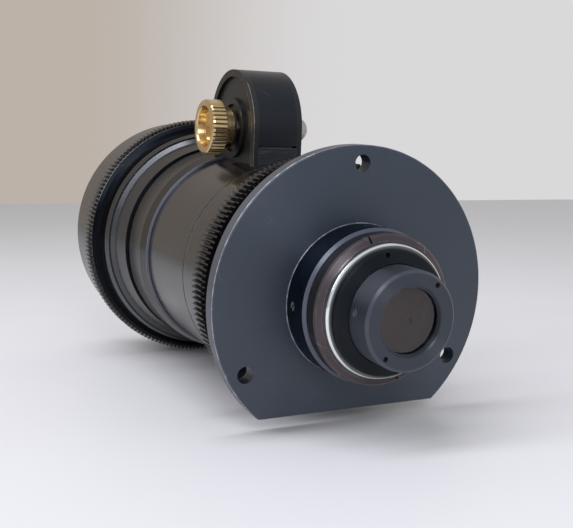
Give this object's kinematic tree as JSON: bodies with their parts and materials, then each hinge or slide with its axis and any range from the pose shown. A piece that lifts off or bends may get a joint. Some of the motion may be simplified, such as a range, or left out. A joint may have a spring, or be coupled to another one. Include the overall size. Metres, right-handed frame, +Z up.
{
  "type": "cine zoom lens",
  "caption": "Cine zoom lens with geared focus and iris rings, a rack-driven zoom knob in an arched case, a flat-footed mounting flange and a stepped rear cell.",
  "frame": {"origin": "centre of the mounting flange's rear face, on the optical axis", "axes": "+Y along the optical axis to the front glass, +Z up to the zoom gear case, +X to the right seen from the rear"},
  "size_m": [0.1376, 0.2637, 0.1645],
  "materials": {
    "black_anodised": "satin black anodised",
    "grey_anodised": "satin grey anodised",
    "bronze": "dull bronze",
    "chrome_plate": "polished",
    "brass": "turned and knurled",
    "steel": "bright",
    "blued_steel": "blackened",
    "optical_glass": "coated"
  },
  "bodies": {
    "lens_body": {"mounting_flange": "black_anodised", "rear_body": "black_anodised", "main_barrel": "black_anodised", "gear_case_body": "black_anodised", "gear_case_base": "black_anodised", "gear_case_left_cover": "black_anodised", "gear_case_right_cover": "black_anodised", "rear_lens_cell": "black_anodised", "cell_lock_ring": "grey_anodised", "rod_plate": "grey_anodised", "iris_pivot_plate": "grey_anodised", "rear_spacer": "grey_anodised", "rear_inner_lock_ring": "grey_anodised", "focus_retainer": "grey_anodised", "clamp_ring": "bronze", "shaft_bush_left": "bronze", "shaft_bush_right": "bronze", "chrome_ring": "chrome_plate", "flange_set_screws": "steel", "cell_set_screws": "steel", "guide_rods": "steel", "focus_key_pins": "steel", "rear_element": "optical_glass", "rear_inner_element": "optical_glass"},
    "iris_ring": {"iris_gear_ring": "black_anodised", "iris_drive_screw": "steel", "iris_cam_ring": "grey_anodised"},
    "zoom_drive": {"zoom_shaft": "steel", "zoom_pinion": "steel", "zoom_knob": "brass", "shaft_dome_nut": "steel"},
    "zoom_group": {"zoom_carriage": "grey_anodised", "zoom_rack": "steel", "rack_screws": "steel", "zoom_front_element": "optical_glass", "zoom_rear_element": "optical_glass", "carriage_retaining_rings": "grey_anodised"},
    "focus": {"focus_ring": "black_anodised"},
    "front_group": {"front_cell": "grey_anodised", "front_inner_element": "optical_glass", "front_spacer": "grey_anodised", "front_element": "optical_glass", "front_retaining_ring": "grey_anodised"},
    "iris_blade_1": {"iris_blade_1": "blued_steel"},
    "iris_blade_2": {"iris_blade_2": "blued_steel"},
    "iris_blade_3": {"iris_blade_3": "blued_steel"},
    "iris_blade_4": {"iris_blade_4": "blued_steel"},
    "iris_blade_5": {"iris_blade_5": "blued_steel"},
    "iris_blade_6": {"iris_blade_6": "blued_steel"},
    "iris_blade_7": {"iris_blade_7": "blued_steel"},
    "iris_blade_8": {"iris_blade_8": "blued_steel"}
  },
  "joints": [
    {"name": "iris_turn", "type": "hinge", "parent": "lens_body", "child": "iris_ring", "pos_m": [0, 0.0378, 0], "axis": [0, 1, 0], "range_deg": [0, 60]},
    {"name": "zoom_slide", "type": "slide", "parent": "lens_body", "child": "zoom_group", "axis": [0, 1, 0], "range_m": [-0.02, 0.02]},
    {"name": "zoom_turn", "type": "hinge", "parent": "lens_body", "child": "zoom_drive", "pos_m": [0, 0.1104, 0.0666], "axis": [1, 0, 0], "range_deg": [-50.98, 50.98]},
    {"name": "focus_turn", "type": "hinge", "parent": "lens_body", "child": "focus", "pos_m": [0, 0.163, 0], "axis": [0, 1, 0], "range_deg": [0, 270]},
    {"name": "front_slide", "type": "slide", "parent": "lens_body", "child": "front_group", "axis": [0, 1, 0], "range_m": [0, 0.0041]},
    {"name": "iris_blade_1_pivot", "type": "hinge", "parent": "lens_body", "child": "iris_blade_1", "pos_m": [0.0336, 0.0572, 0], "axis": [0, 1, 0], "range_deg": [0, 32]},
    {"name": "iris_blade_2_pivot", "type": "hinge", "parent": "lens_body", "child": "iris_blade_2", "pos_m": [0.02376, 0.0572, -0.02376], "axis": [0, 1, 0], "range_deg": [0, 32]},
    {"name": "iris_blade_3_pivot", "type": "hinge", "parent": "lens_body", "child": "iris_blade_3", "pos_m": [0, 0.0572, -0.0336], "axis": [0, 1, 0], "range_deg": [0, 32]},
    {"name": "iris_blade_4_pivot", "type": "hinge", "parent": "lens_body", "child": "iris_blade_4", "pos_m": [-0.02376, 0.0572, -0.02376], "axis": [0, 1, 0], "range_deg": [0, 32]},
    {"name": "iris_blade_5_pivot", "type": "hinge", "parent": "lens_body", "child": "iris_blade_5", "pos_m": [-0.0336, 0.0572, 0], "axis": [0, 1, 0], "range_deg": [0, 32]},
    {"name": "iris_blade_6_pivot", "type": "hinge", "parent": "lens_body", "child": "iris_blade_6", "pos_m": [-0.02376, 0.0572, 0.02376], "axis": [0, 1, 0], "range_deg": [0, 32]},
    {"name": "iris_blade_7_pivot", "type": "hinge", "parent": "lens_body", "child": "iris_blade_7", "pos_m": [0, 0.0572, 0.0336], "axis": [0, 1, 0], "range_deg": [0, 32]},
    {"name": "iris_blade_8_pivot", "type": "hinge", "parent": "lens_body", "child": "iris_blade_8", "pos_m": [0.02376, 0.0572, 0.02376], "axis": [0, 1, 0], "range_deg": [0, 32]}
  ],
  "couplings": [
    {"joint": "zoom_turn", "follows": "zoom_slide", "rad_per_m": 44.444},
    {"joint": "front_slide", "follows": "focus_turn", "m_per_rad": 0.00084883},
    {"joint": "iris_blade_1_pivot", "follows": "iris_turn", "ratio": 0.53333},
    {"joint": "iris_blade_2_pivot", "follows": "iris_turn", "ratio": 0.53333},
    {"joint": "iris_blade_3_pivot", "follows": "iris_turn", "ratio": 0.53333},
    {"joint": "iris_blade_4_pivot", "follows": "iris_turn", "ratio": 0.53333},
    {"joint": "iris_blade_5_pivot", "follows": "iris_turn", "ratio": 0.53333},
    {"joint": "iris_blade_6_pivot", "follows": "iris_turn", "ratio": 0.53333},
    {"joint": "iris_blade_7_pivot", "follows": "iris_turn", "ratio": 0.53333},
    {"joint": "iris_blade_8_pivot", "follows": "iris_turn", "ratio": 0.53333}
  ]
}
